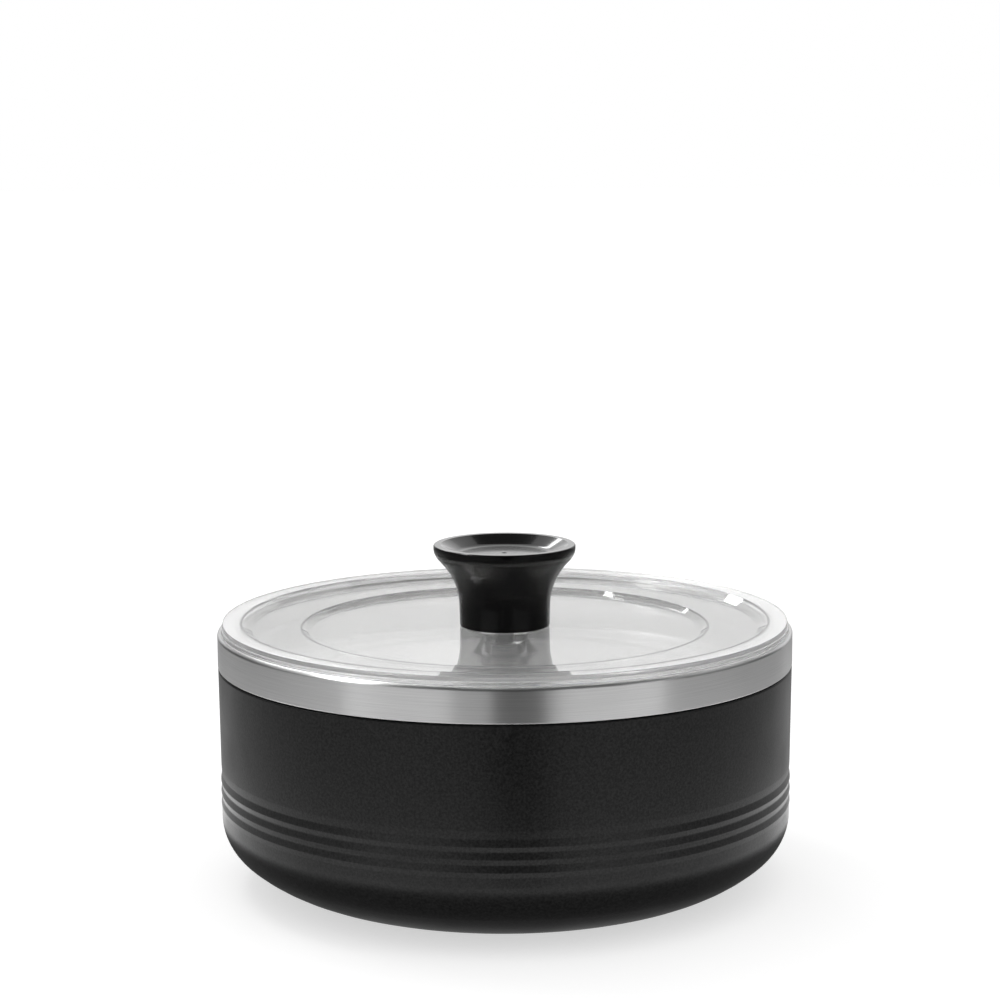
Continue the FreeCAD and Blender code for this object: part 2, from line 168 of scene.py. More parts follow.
GATE_DEPTH = 0.35

# Heights and radii that follow from them
shell_radius = BAND_RADIUS - BAND_PROUD
waist_radius = shell_radius - WALL_DRAFT
mouth_radius = BAND_RADIUS - RIM_DEPTH
lip_radius = BAND_RADIUS - BAND_LIP
flange_radius = BAND_RADIUS - FLANGE_INSET
cover_radius = flange_radius - COVER_INSET
band_bottom = BAND_TOP - BAND_WIDTH
bowl_top = BAND_TOP - BAND_SHEET - FACE_GAP
flange_underside = BAND_TOP + SEAT_GAP
flange_top = flange_underside + FLANGE_THICKNESS
cover_underside = flange_top + FACE_GAP
rim_top = cover_underside + COVER_WALL
step_top = rim_top - FIRST_STEP
disc_top = step_top - SECOND_STEP
crown_top = disc_top + DISC_CROWN
pad_top = crown_top + PAD_RISE
knob_foot = pad_top + FACE_GAP
knob_top = knob_foot + KNOB_HEIGHT
liner_underside = flange_underside - LINER_DEPTH
plate_top = liner_underside + LINER_WALL
pillar_split = plate_top + PILLAR_SPLIT


# ---------------------------------------------------------------- outlines

def unit(vectors):
    """Each vector divided by its length."""
    return vectors / np.linalg.norm(vectors, axis=1, keepdims=True)


def turns_between(into, out):
    """Signed angle from each direction to the next: arctangent of cross over dot product."""
    cross = into[:, 0] * out[:, 1] - into[:, 1] * out[:, 0]
    return np.arctan2(cross, (into * out).sum(axis=1))


def beside(chain, distance):
    """Open chain moved to its left: each corner goes out along both walls' normals by
    distance times the tangent of half its turn, and its fillet stays concentric."""
    corners = np.array(chain, float)
    along = unit(np.diff(corners[:, :2], axis=0))
    into = np.vstack([along[:1], along])
    out = np.vstack([along, along[-1:]])
    turn = turns_between(into, out)
    reach = distance * np.tan(turn / 2)
    left = np.column_stack([-into[:, 1], into[:, 0]])
    moved = corners[:, :2] + left * distance - into * reach[:, None]
    fillet = np.where(corners[:, 2] > 0,
                      np.maximum(corners[:, 2] - np.sign(turn) * distance, 0.05), 0.0)
    return [tuple(row) for row in np.column_stack([moved, fillet])]


def wall(chain, thickness):
    """Closed outline of a wall of even thickness on the left of a chain."""
    return list(chain) + beside(chain, thickness)[::-1]


def rounded(corners):
    """Closed outline as short edges: rows of start, end and the outward normal at both.
    A corner's arc has its radius times the tangent of half the turn cut off each side."""
    corners = np.array(corners, float)
    places = corners[:, :2]
    following = np.roll(places, -1, axis=0)
    area = (places[:, 0] * following[:, 1] - places[:, 1] * following[:, 0]).sum()
    if area < 0:
        corners = corners[::-1]
        places = corners[:, :2]
        following = np.roll(places, -1, axis=0)
    out = unit(following - places)
    into = np.roll(out, 1, axis=0)
    turn = turns_between(into, out)
    reach = corners[:, 2] * np.abs(np.tan(turn / 2))
    starts = places - into * reach[:, None]
    ends = places + out * reach[:, None]
    rows = []
    for index in range(len(corners)):
        fillet = corners[index, 2] * np.sign(turn[index])
        normal = np.array([into[index, 1], -into[index, 0]])
        if reach[index] > 1e-6:
            count = max(1, math.ceil(abs(turn[index]) / ARC_STEP))
            angles = np.linspace(0, turn[index], count + 1)
            normals = np.column_stack([np.cos(angles) * normal[0] - np.sin(angles) * normal[1],
                                       np.sin(angles) * normal[0] + np.cos(angles) * normal[1]])
            points = starts[index] - normal * fillet + normals * fillet
            rows.append(np.hstack([points[:-1], points[1:], normals[:-1], normals[1:]]))
        next_index = (index + 1) % len(corners)
        straight = starts[next_index] - ends[index]
        if np.linalg.norm(straight) > 1e-6:
            side = np.array([out[index, 1], -out[index, 0]])
            rows.append(np.hstack([ends[index], starts[next_index], side, side])[None])
    return np.vstack(rows)


# ---------------------------------------------------------------- turned pieces

def turned(name, corners, node, material, turns=TURNS):
    """Solid of revolution about Z: the point at angle a of an outline point (r, z) is
    (r cos a, r sin a, z). Edges on the axis are left out and their ends are one vertex.
    Loops carry the outline's own normals, so arcs and flats shade exactly."""
    edges = rounded(corners)
    edges = edges[(edges[:, 0] > 1e-6) | (edges[:, 2] > 1e-6)]
    count = len(edges)
    angles = np.arange(turns) * 2 * math.pi / turns
    around = np.column_stack([np.cos(angles), np.sin(angles)])

    # rings of vertices, one for each distinct outline point, in order round the outline
    points = np.vstack([edges[:, 0:2], edges[:, 2:4]])
    distinct, where = np.unique(np.round(points, 5), axis=0, return_inverse=True)
    where = where.reshape(-1)
    size = np.where(distinct[:, 0] < 1e-6, 1, turns)
    first = np.concatenate([[0], np.cumsum(size)[:-1]])
    rings = [np.column_stack([radius * around[:n], np.full(n, height)])
             for (radius, height), n in zip(distinct, size)]
    vertices = np.vstack(rings) * MM

    step = np.arange(turns)
    ahead = (step + 1) % turns
    loops, normals, totals = [], [], []
    for index in range(count):
        low, high = where[index], where[index + count]
        normal_low, normal_high = edges[index, 4:6], edges[index, 6:8]
        ring = [(low, step, normal_low), (low, ahead, normal_low),
                (high, ahead, normal_high), (high, step, normal_high)]
        if size[low] == 1:
            ring = ring[1:]
        if size[high] == 1:
            ring = ring[:3]
        loops.append(np.column_stack([first[at] + (place if size[at] > 1 else place * 0)
                                      for at, place, _ in ring]).reshape(-1))
        normals.append(np.stack([np.column_stack([around[place] * n[0],
                                                  np.full(turns, n[1])])
                                 for _, place, n in ring], axis=1).reshape(-1, 3))
        totals.append(np.full(turns, len(ring)))
    loops = np.concatenate(loops).astype(np.int32)
    totals = np.concatenate(totals)

    mesh = bpy.data.meshes.new(name)
    mesh.vertices.add(len(vertices))
    mesh.vertices.foreach_set("co", vertices.astype(np.float32).reshape(-1))
    mesh.loops.add(len(loops))
    mesh.loops.foreach_set("vertex_index", loops)
    mesh.polygons.add(len(totals))
    starts = np.concatenate([[0], np.cumsum(totals)[:-1]]).astype(np.int32)
    mesh.polygons.foreach_set("loop_start", starts)
    mesh.update(calc_edges=True)
    mesh.polygons.foreach_set("use_smooth", np.ones(len(totals), bool))
    mesh.normals_split_custom_set(np.vstack(normals).astype(np.float32))
    mesh.materials.append(material)
    piece = bpy.data.objects.new(name, mesh)
    bpy.context.scene.collection.objects.link(piece)
    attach(piece, frame["nodes"][node]["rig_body"])
    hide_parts(node)
    return piece


# ---------------------------------------------------------------- material tools

def node_group(name, inputs, outputs, build):
    """A shader node group: inputs are (name, default), outputs are names."""
    group = bpy.data.node_groups.new(name, "ShaderNodeTree")
    for label, value in inputs:
        socket = group.interface.new_socket(label, in_out="INPUT", socket_type="NodeSocketFloat")
        socket.default_value = value
    for label in outputs:
        group.interface.new_socket(label, in_out="OUTPUT", socket_type="NodeSocketFloat")
    build(group, group.nodes.new("NodeGroupInput"), group.nodes.new("NodeGroupOutput"))
    return group


def maths(tree, operation, first, second=None):
    """One Math node; each operand is a socket or a number."""
    step = tree.nodes.new("ShaderNodeMath")
    step.operation = operation
    for socket, operand in zip(step.inputs, (first, second)):
        if isinstance(operand, bpy.types.NodeSocket):
            tree.links.new(operand, socket)
        elif operand is not None:
            socket.default_value = operand
    return step.outputs[0]


def noise(tree, vector, scale, detail, roughness=0.5):
    """Noise texture's value, from 0 to 1."""
    texture = tree.nodes.new("ShaderNodeTexNoise")
    tree.links.new(vector, texture.inputs["Vector"])
    if isinstance(scale, bpy.types.NodeSocket):
        tree.links.new(scale, texture.inputs["Scale"])
    else:
        texture.inputs["Scale"].default_value = scale
    texture.inputs["Detail"].default_value = detail
    texture.inputs["Roughness"].default_value = roughness
    return texture.outputs[0]


def build_grain(tree, given, result):
    """Fine even grain of a moulded or powder-coated surface: two noises, one finer."""
    place = tree.nodes.new("ShaderNodeTexCoord").outputs["Object"]
    coarse = noise(tree, place, given.outputs["Scale"], 2.0)
    fine = noise(tree, place, maths(tree, "MULTIPLY", given.outputs["Scale"], 2.7), 1.0)
    both = maths(tree, "ADD", maths(tree, "MULTIPLY", coarse, 0.65),
                 maths(tree, "MULTIPLY", fine, 0.35))
    tree.links.new(both, result.inputs["Height"])
    cloud = noise(tree, place, 38.0, 3.0)
    tree.links.new(cloud, result.inputs["Cloud"])


def build_brushing(tree, given, result):
    """Fine lines that run round the axis: noise that is long in X and Y and short in Z."""
    place = tree.nodes.new("ShaderNodeTexCoord").outputs["Object"]
    split = tree.nodes.new("ShaderNodeSeparateXYZ")
    tree.links.new(place, split.inputs[0])
    join = tree.nodes.new("ShaderNodeCombineXYZ")
    for axis in (0, 1):
        tree.links.new(maths(tree, "MULTIPLY", split.outputs[axis], given.outputs["Along"]),
                       join.inputs[axis])
    tree.links.new(maths(tree, "MULTIPLY", split.outputs[2], given.outputs["Across"]),
                   join.inputs[2])
    lines = noise(tree, join.outputs[0], 1.0, 3.0, 0.6)
    tree.links.new(lines, result.inputs["Lines"])
    tree.links.new(noise(tree, place, 30.0, 2.0), result.inputs["Cloud"])


def distance_from_axis(tree, split):
    """Square root of X squared plus Y squared."""
    squared = maths(tree, "ADD", maths(tree, "MULTIPLY", split.outputs[0], split.outputs[0]),
                    maths(tree, "MULTIPLY", split.outputs[1], split.outputs[1]))
    return maths(tree, "SQRT", squared)


def build_rings(tree, given, result):
    """Fine circles of a turned or spun face: noise of the distance from the axis."""
    place = tree.nodes.new("ShaderNodeTexCoord").outputs["Object"]
    split = tree.nodes.new("ShaderNodeSeparateXYZ")
    tree.links.new(place, split.inputs[0])
    radius = distance_from_axis(tree, split)
    join = tree.nodes.new("ShaderNodeCombineXYZ")
    tree.links.new(maths(tree, "MULTIPLY", radius, given.outputs["Across"]), join.inputs[0])
    tree.links.new(maths(tree, "MULTIPLY", split.outputs[2], given.outputs["Across"]),
                   join.inputs[2])
    tree.links.new(noise(tree, join.outputs[0], 1.0, 3.0, 0.6), result.inputs["Lines"])
    tree.links.new(noise(tree, place, 45.0, 2.0), result.inputs["Cloud"])


def build_zones(tree, given, result):
    """Outside is 1 beyond an upright cylinder round the axis. Top is 1 inside it and above
    a height."""
    place = tree.nodes.new("ShaderNodeTexCoord").outputs["Object"]
    split = tree.nodes.new("ShaderNodeSeparateXYZ")
    tree.links.new(place, split.inputs[0])
    outside = maths(tree, "GREATER_THAN", distance_from_axis(tree, split),
                    given.outputs["Radius"])
    above = maths(tree, "GREATER_THAN", split.outputs[2], given.outputs["Height"])
    tree.links.new(outside, result.inputs["Outside"])
    tree.links.new(maths(tree, "MULTIPLY", above, maths(tree, "SUBTRACT", 1.0, outside)),
                   result.inputs["Top"])


grain = node_group("surface_grain", [("Scale", 2500.0)], ["Height", "Cloud"], build_grain)
brushing = node_group("round_brushing", [("Along", 25.0), ("Across", 5000.0)],
                      ["Lines", "Cloud"], build_brushing)
rings = node_group("turned_rings", [("Across", 4000.0)], ["Lines", "Cloud"], build_rings)
zones = node_group("round_zones", [("Radius", 0.1), ("Height", 0.1)], ["Outside", "Top"],
                   build_zones)


def finish(name, colour, **values):
    """New material with one Principled shader; returns the material, its tree and shader."""
    material = bpy.data.materials.new(name)
    material.use_nodes = True
    shader = material.node_tree.nodes["Principled BSDF"]
    shader.inputs["Base Color"].default_value = (*colour, 1)
    for label, value in values.items():
        shader.inputs[label.replace("_", " ")].default_value = value
    return material, material.node_tree, shader


def place_group(tree, group, **values):
    """Group node in a material, with its own values."""
    placed = tree.nodes.new("ShaderNodeGroup")
    placed.node_tree = group
    for label, value in values.items():
        placed.inputs[label].default_value = value
    return placed


def between(tree, mask, low, high):
    """The mask's 0.3 to 0.7 stretched over low to high."""
    ramp = tree.nodes.new("ShaderNodeMapRange")
    ramp.interpolation_type = "SMOOTHSTEP"
    tree.links.new(mask, ramp.inputs["Value"])
    ramp.inputs["From Min"].default_value = 0.3
    ramp.inputs["From Max"].default_value = 0.7
    ramp.inputs["To Min"].default_value = low
    ramp.inputs["To Max"].default_value = high
    return ramp.outputs[0]


def tint(tree, shader, mask, low, high):
    """Base colour between two colours by a mask."""
    mix = tree.nodes.new("ShaderNodeMix")
    mix.data_type = "RGBA"
    tree.links.new(between(tree, mask, 0.0, 1.0), mix.inputs[0])
    mix.inputs[6].default_value = (*low, 1)
    mix.inputs[7].default_value = (*high, 1)
    tree.links.new(mix.outputs[2], shader.inputs["Base Color"])


def bump(tree, shader, height, distance, strength=1.0):
    """Bump of a height given from 0 to 1, distance in metres."""
    relief = tree.nodes.new("ShaderNodeBump")
    relief.inputs["Distance"].default_value = distance
    relief.inputs["Strength"].default_value = strength
    tree.links.new(height, relief.inputs["Height"])
    tree.links.new(relief.outputs[0], shader.inputs["Normal"])


# ---------------------------------------------------------------- finishes

KNOB_BLACK = (0.0015, 0.0015, 0.0015)
EDGE_SATIN = 112.9              # lid's upright edge is satin outside this radius, in mm
KNOB_POLISH = 28.2              # knob's top is polished inside this radius, in mm


def powder_coat():
    """Black powder coat: satin, with a fine speckled grain."""
    material, tree, shader = finish("black_powder_coat", (0.008, 0.008, 0.008), Roughness=0.34)
    shader.inputs["Specular IOR Level"].default_value = 0.25
    texture = place_group(tree, grain, Scale=1100.0)
    tint(tree, shader, texture.outputs["Height"], (0.003, 0.003, 0.003), (0.018, 0.018, 0.018))
    tree.links.new(between(tree, texture.outputs["Cloud"], 0.31, 0.37), shader.inputs["Roughness"])
    bump(tree, shader, texture.outputs["Height"], 0.00006, 0.8)
    return material


def brushed_band():
    """Stainless steel brushed round the band, with fine faint lines."""
    material, tree, shader = finish("brushed_band_steel", (0.7, 0.7, 0.7), Metallic=1.0,
                                    Roughness=0.33, Anisotropic=0.95)
    shader.inputs["Anisotropic Rotation"].default_value = 0.25
    texture = place_group(tree, brushing, Along=30.0, Across=9000.0)
    tint(tree, shader, texture.outputs["Lines"], (0.64, 0.64, 0.64), (0.75, 0.75, 0.75))
    tree.links.new(between(tree, texture.outputs["Cloud"], 0.31, 0.35), shader.inputs["Roughness"])
    bump(tree, shader, texture.outputs["Lines"], 0.000006, 0.4)
    return material


def satin_steel():
    """Bowl's stainless steel, satin inside."""
    material, tree, shader = finish("satin_bowl_steel", (0.66, 0.66, 0.65), Metallic=1.0,
                                    Roughness=0.24)
    texture = place_group(tree, rings, Across=5000.0)
    tint(tree, shader, texture.outputs["Lines"], (0.6, 0.6, 0.59), (0.71, 0.71, 0.7))
    tree.links.new(between(tree, texture.outputs["Cloud"], 0.235, 0.245),
                   shader.inputs["Roughness"])
    bump(tree, shader, texture.outputs["Lines"], 0.000008, 0.4)
    return material


def clear_plastic(name):
    """Polished clear plastic, satin round its upright edge; lets the lamps through."""
    material, tree, shader = finish(name, (1, 1, 1), Roughness=0.02, IOR=1.5,
                                    Transmission_Weight=0.92)
    texture = place_group(tree, grain, Scale=40.0)
    edge = place_group(tree, zones, Radius=EDGE_SATIN * MM)
    shine = between(tree, texture.outputs["Cloud"], 0.008, 0.02)
    satin = maths(tree, "MULTIPLY", edge.outputs["Outside"], 0.25)
    tree.links.new(maths(tree, "ADD", shine, satin), shader.inputs["Roughness"])
    bump(tree, shader, texture.outputs["Height"], 0.00002, 0.1)
    output = tree.nodes["Material Output"]
    clear = tree.nodes.new("ShaderNodeBsdfTransparent")
    clear.inputs[0].default_value = (0.93, 0.93, 0.93, 1)
    mix = tree.nodes.new("ShaderNodeMixShader")
    rays = tree.nodes.new("ShaderNodeLightPath")
    tree.links.new(rays.outputs["Is Shadow Ray"], mix.inputs[0])
    tree.links.new(shader.outputs[0], mix.inputs[1])
    tree.links.new(clear.outputs[0], mix.inputs[2])
    tree.links.new(mix.outputs[0], output.inputs[0])
    return material


def moulded(name, colour, roughness, scale, depth):
    """Moulded plastic or rubber with a fine grain."""
    material, tree, shader = finish(name, colour, Roughness=roughness)
    texture = place_group(tree, grain, Scale=scale)
    tint(tree, shader, texture.outputs["Cloud"], tuple(c * 0.85 for c in colour),
         tuple(min(1.0, c * 1.15) for c in colour))
    tree.links.new(between(tree, texture.outputs["Cloud"], roughness * 0.9, roughness * 1.12),
                   shader.inputs["Roughness"])
    bump(tree, shader, texture.outputs["Height"], depth)
    return material


def knob_plastic():
    """Knob's black plastic, dull round its sides and polished over the top and the dish."""
    material, tree, shader = finish("black_knob_plastic", KNOB_BLACK, Roughness=0.18,
                                    Specular_IOR_Level=0.22, Coat_Roughness=0.1)
    texture = place_group(tree, grain, Scale=2600.0)
    tint(tree, shader, texture.outputs["Cloud"], tuple(c * 0.85 for c in KNOB_BLACK),
         tuple(c * 1.15 for c in KNOB_BLACK))
    tree.links.new(between(tree, texture.outputs["Cloud"], 0.16, 0.2), shader.inputs["Roughness"])
    bump(tree, shader, texture.outputs["Height"], 0.00001)
    dish = place_group(tree, zones, Radius=KNOB_POLISH * MM,
                       Height=(knob_top - DISH_DEPTH - CAP_THICKNESS) * MM)
    tree.links.new(dish.outputs["Top"], shader.inputs["Coat Weight"])
    return material


def turned_metal(name, colour, roughness, across):
    """Metal turned or spun about the axis, with fine circles."""
    material, tree, shader = finish(name, colour, Metallic=1.0, Roughness=roughness)
    texture = place_group(tree, rings, Across=across)
    tint(tree, shader, texture.outputs["Lines"], tuple(c * 0.92 for c in colour),
         tuple(min(1.0, c * 1.06) for c in colour))
    tree.links.new(between(tree, texture.outputs["Cloud"], roughness * 0.9, roughness * 1.1),
                   shader.inputs["Roughness"])
    bump(tree, shader, texture.outputs["Lines"], 0.000006, 0.4)
    return material


# ---------------------------------------------------------------- pieces

def shell_outline():
    """Outside from the filling hole out over the standing ring, up past the beads to the
    neck under the band, and back down the inside."""
    side_reach = SIDE_ARC * math.tan(UNDER_SLOPE / 2)
    base_reach = BASE_ARC * math.tan((math.pi / 2 - UNDER_SLOPE) / 2)
    under = side_reach + UNDER_FLAT + base_reach
    base_corner = waist_radius - under * math.sin(UNDER_SLOPE)
    stand_inner = base_corner - base_reach - STAND_WIDTH
    chain = [(FILL_HOLE_RADIUS, PANEL_RISE, 0.0),
             (stand_inner - PANEL_SLOPE_WIDTH, PANEL_RISE, PANEL_FILLET),
             (stand_inner, 0.0, PANEL_FILLET),
             (base_corner, 0.0, BASE_ARC),
             (waist_radius, under * math.cos(UNDER_SLOPE), SIDE_ARC)]
    pitch = BEAD_UPPER_WIDTH + BEAD_LOWER_WIDTH
    lowest_crest = BEAD_TOP_HEIGHT - (BEAD_COUNT - 1) * pitch
    chain.append((waist_radius, lowest_crest - BEAD_LOWER_WIDTH, BEAD_FOOT_ARC))
    foot_radius = waist_radius - BEAD_SINK
    for index in range(BEAD_COUNT):
        crest = lowest_crest + index * pitch
        chain += [(foot_radius + BEAD_RISE, crest, BEAD_CREST_ARC),
                  (foot_radius, crest + BEAD_UPPER_WIDTH, BEAD_FOOT_ARC)]
    chain.append((waist_radius, BEAD_TOP_HEIGHT + BEAD_UPPER_WIDTH + BEAD_SINK_WIDTH,
                  BEAD_FOOT_ARC))
    neck_radius = BAND_RADIUS - HEM_SHEET - NECK_CLEARANCE
    step_height = band_bottom - NECK_STEP_DROP
    step_round = (shell_radius - neck_radius) / 2
    chain += [(shell_radius, step_height - NECK_STEP, step_round),
              (neck_radius, step_height, step_round),
              (neck_radius, bowl_top - BOWL_SHEET - FACE_GAP, 0.0)]
    return wall(chain, SHELL_SHEET)


def bowl_outline():
    """Bowl with its flange on the shell's top edge."""
    floor = PANEL_RISE + SHELL_SHEET + FLOOR_FOAM + BOWL_SHEET
    return wall([(0.0, floor, 0.0),
                 (mouth_radius - BOWL_DRAFT, floor, BOWL_CORNER),
                 (mouth_radius, bowl_top, BOWL_RIM_BEND),
                 (BAND_RADIUS - BAND_SHOULDER - FLANGE_CLEARANCE, bowl_top, 0.0)],
                -BOWL_SHEET)


def band_outline():
    """Collar with a top lip and a folded lower edge."""
    inner = BAND_RADIUS - BAND_SHEET
    hem = BAND_RADIUS - HEM_SHEET
    return [(lip_radius, BAND_TOP, BAND_LIP_ROUND),
            (lip_radius, BAND_TOP - BAND_SHEET, BAND_LIP_ROUND),
            (inner, BAND_TOP - BAND_SHEET, BAND_SHOULDER - BAND_SHEET),
            (inner, band_bottom + HEM_WIDTH, 0.0),
            (hem, band_bottom + HEM_WIDTH, (HEM_SHEET - BAND_SHEET) / 2),
            (hem, band_bottom, HEM_ROUND),
            (BAND_RADIUS, band_bottom, HEM_ROUND),
            (BAND_RADIUS, BAND_TOP, BAND_SHOULDER)]


def cover_outline():
    """Clear plate with two steps down to a disc, a low pad and half of the pillar."""
    first = cover_radius - RIM_WIDTH
    second = first - FIRST_SLOPE_WIDTH - STEP_WIDTH
    top = [(cover_radius, rim_top, 0.0),
           (first, rim_top, STEP_EDGE_ROUND),
           (first - FIRST_SLOPE_WIDTH, step_top, STEP_FILLET),
           (second, step_top, STEP_EDGE_ROUND),
           (second - SECOND_SLOPE_WIDTH, disc_top, STEP_FILLET),
           (PAD_RADIUS, crown_top, 0.0)]
    waist = pillar_split + FACE_GAP
    return ([(cover_radius, rim_top, EDGE_ROUND)] + top[1:]
            + [(PAD_RADIUS, pad_top, EDGE_ROUND), (SCREW_HOLE_RADIUS, pad_top, 0.0),
               (SCREW_HOLE_RADIUS, waist, 0.0), (PILLAR_WAIST, waist, EDGE_ROUND),
               (PILLAR_TOP_RADIUS, crown_top - COVER_WALL, STEP_FILLET)]
            + beside(top, COVER_WALL)[1:-1][::-1]
            + [(cover_radius, cover_underside, EDGE_ROUND)])


def liner_outline():
    """Clear dish with a plug wall, half of the pillar and a rib that sits on the band."""
    plug = mouth_radius - LINER_CLEARANCE
    inside = plug - LINER_WALL
    ceiling = liner_underside + SCREW_POCKET_DEPTH
    rib = lip_radius + SEAT_RIB_INSET
    rib_bottom = BAND_TOP + FACE_GAP
    return [(flange_radius, flange_top, EDGE_ROUND),
            (inside, flange_top, LINER_EDGE_ROUND),
            (inside - LINER_DRAFT, plate_top, LINER_CORNER - LINER_WALL),
            (PILLAR_FOOT_RADIUS, plate_top, STEP_FILLET),
            (PILLAR_WAIST, pillar_split, EDGE_ROUND),
            (SCREW_HOLE_RADIUS, pillar_split, 0.0), (SCREW_HOLE_RADIUS, ceiling, 0.0),
            (SCREW_POCKET_RADIUS, ceiling, EDGE_ROUND),
            (SCREW_POCKET_RADIUS, liner_underside, EDGE_ROUND),
            (plug - LINER_DRAFT, liner_underside, LINER_CORNER),
            (plug, flange_underside, EDGE_ROUND),
            (rib, flange_underside, 0.0), (rib, rib_bottom, 0.0),
            (rib + SEAT_RIB_WIDTH, rib_bottom, 0.0),
            (rib + SEAT_RIB_WIDTH, flange_underside, 0.0),
            (flange_radius, flange_underside, EDGE_ROUND)]


def knob_outline():
    """Flared knob with a lip round its dished top and a pocket for the disc."""
    slope_end = knob_top - KNOB_SLOPE_END
    slope_start = slope_end - (KNOB_RADIUS - KNOB_NECK_RADIUS) / math.tan(KNOB_SLOPE)
    dish_floor = knob_top - DISH_DEPTH
    pocket = CAP_RADIUS + CAP_CLEARANCE
    pocket_floor = dish_floor + CAP_PROUD - CAP_THICKNESS - FACE_GAP
    spigot = CAP_SPIGOT_RADIUS + CAP_CLEARANCE
    spigot_floor = pocket_floor - CAP_SPIGOT_LENGTH - CAP_CLEARANCE
    return [(0.0, knob_foot, 0.0),
            (KNOB_FOOT_RADIUS, knob_foot, KNOB_FOOT_ROUND),
            (KNOB_NECK_RADIUS, slope_start, KNOB_FLARE_ARC),
            (KNOB_RADIUS, slope_end, KNOB_LIP_ARC),
            (KNOB_RADIUS, knob_top, KNOB_EDGE_ROUND),
            (KNOB_RADIUS - KNOB_LIP_WIDTH, knob_top, KNOB_INNER_ROUND),
            (DISH_FLOOR_RADIUS, dish_floor, DISH_FILLET),
            (pocket, dish_floor, 0.0), (pocket, pocket_floor, 0.0),
            (spigot, pocket_floor, 0.0), (spigot, spigot_floor, 0.0),
            (0.0, spigot_floor, 0.0)]


def cap_outline():
    """Disc with a spigot and the dimple of its moulding gate."""
    top = knob_top - DISH_DEPTH + CAP_PROUD
    underside = top - CAP_THICKNESS
    tip = underside - CAP_SPIGOT_LENGTH
    return [(0.0, tip, 0.0), (CAP_SPIGOT_RADIUS, tip, CAP_ROUND),
            (CAP_SPIGOT_RADIUS, underside, 0.0), (CAP_RADIUS, underside, 0.0),
            (CAP_RADIUS, top, CAP_ROUND), (GATE_RADIUS, top, 0.0),
            (GATE_FLOOR_RADIUS, top - GATE_DEPTH, 0.0), (0.0, top - GATE_DEPTH, 0.0)]


def turned_pieces():
    """Every piece that shows from outside, in place of its plain solid."""
    black = knob_plastic()
    turned("shell", shell_outline(), "outer_shell", powder_coat())
    turned("bowl", bowl_outline(), "inner_bowl", satin_steel())
    turned("band", band_outline(), "rim_band", brushed_band())
    turned("cover", cover_outline(), "lid_cover",
           clear_plastic("clear_cover_plastic"))
    turned("liner", liner_outline(), "lid_liner",
           clear_plastic("clear_liner_plastic"))
    turned("knob", knob_outline(), "knob_body", black)
    turned("knob_disc", cap_outline(), "knob_cap", black)


def dress_nodes():
    """Finishes of the pieces that stay as the frame has them."""
    looks = {
        "insulation_foam": moulded("pale_rigid_foam", (0.82, 0.74, 0.5), 0.9, 700.0, 0.0002),
        "filler_plug": moulded("black_plug_plastic", (0.02, 0.02, 0.02), 0.5, 1800.0, 0.00002),
        "knob_insert": turned_metal("turned_brass", (0.72, 0.52, 0.22), 0.25, 6000.0),
        "knob_screw": turned_metal("zinc_screw", (0.6, 0.61, 0.62), 0.22, 6000.0),
        "screw_washer": turned_metal("zinc_washer", (0.6, 0.61, 0.62), 0.25, 6000.0),
        "seal_washer": moulded("silicone_washer", (0.75, 0.75, 0.74), 0.5, 1200.0, 0.00001),
    }
    for node, material in looks.items():
        mesh = frame["nodes"][node].data
        mesh.materials.clear()
        mesh.materials.append(material)


# ---------------------------------------------------------------- studio

WORLD_STRENGTH = 0.85           # light that falls on matt surfaces
FLOOR_SIDE = 16.0
FLOOR_GREY = 0.6
FLOOR_LIFT = 0.58               # glow that makes the lit floor white to the eye
BACK_IN_GLOSS = 0.85            # backdrop in glossy surfaces
BACK_THROUGH_LID = 1.4          # backdrop in clear surfaces, brighter than white
LID_BOUNCES = 28

# Lamps: azimuth from the front, elevation, distance, width, height, radiance
LAMPS = {"box_above": (-128, 57, 1.6, 0.5, 0.14, 14.0),
         "box_right": (64, 31, 1.9, 0.6, 0.6, 0.8),
         "box_back": (-165, 30, 1.8, 0.3, 0.2, 6.0),
         "box_glint": (-100, 55, 0.9, 0.2, 0.12, 60.0)}
GLOSS_ONLY_LAMP = "box_glint"
LAMPS_AIM = Vector((0, 0, 0.1))

# Screens: profile as (radius, height), start and end azimuth, level
WALL_FOOT, WALL_TOP = (2.4, 0.0), (2.4, 1.5)
ROOF_MIDDLE, ROOF_TOP = (1.4, 1.93), (0.3, 2.4)
PANEL = ((2.2, 0.05), (2.2, 0.5))
STRIP_START, STRIP_TURN = (0.2, 0.0006), (0.45, 0.001)
STRIP_TOP = (0.45, 0.42)
DIM, BRIGHT_ROOF, BRIGHT_PANEL = 0.08, 0.6, 1.9
SCREENS = {"room_wall": ((WALL_FOOT, WALL_TOP), -150, 138, DIM),
           "room_roof": ((WALL_TOP, ROOF_TOP), -90, 90, DIM),
           "room_roof_behind": ((WALL_TOP, ROOF_MIDDLE), 90, 270, BRIGHT_ROOF),
           "room_top_behind": ((ROOF_MIDDLE, ROOF_TOP), 90, 270, DIM),
           "left_panel": (PANEL, -62, -20, BRIGHT_PANEL),
           "right_panel": (PANEL, 20, 62, BRIGHT_PANEL),
           "dark_runner": ((STRIP_START, STRIP_TURN), -4, 13, 0.06),
           "dark_stand": ((STRIP_TURN, STRIP_TOP), -4, 13, 0.03)}

# Floor in glossy surfaces, with a painted shadow and painted light: distance from the axis and
# level
FLOOR_PAINTED_IN_GLOSS = ((0.0, 0.5), (0.08, 0.5), (0.1, 0.15), (0.15, 0.15), (0.162, 2.0), (0.185, 2.0),
                  (0.22, 0.7), (0.4, 0.65), (0.6, 0.35), (1.0, 0.1))


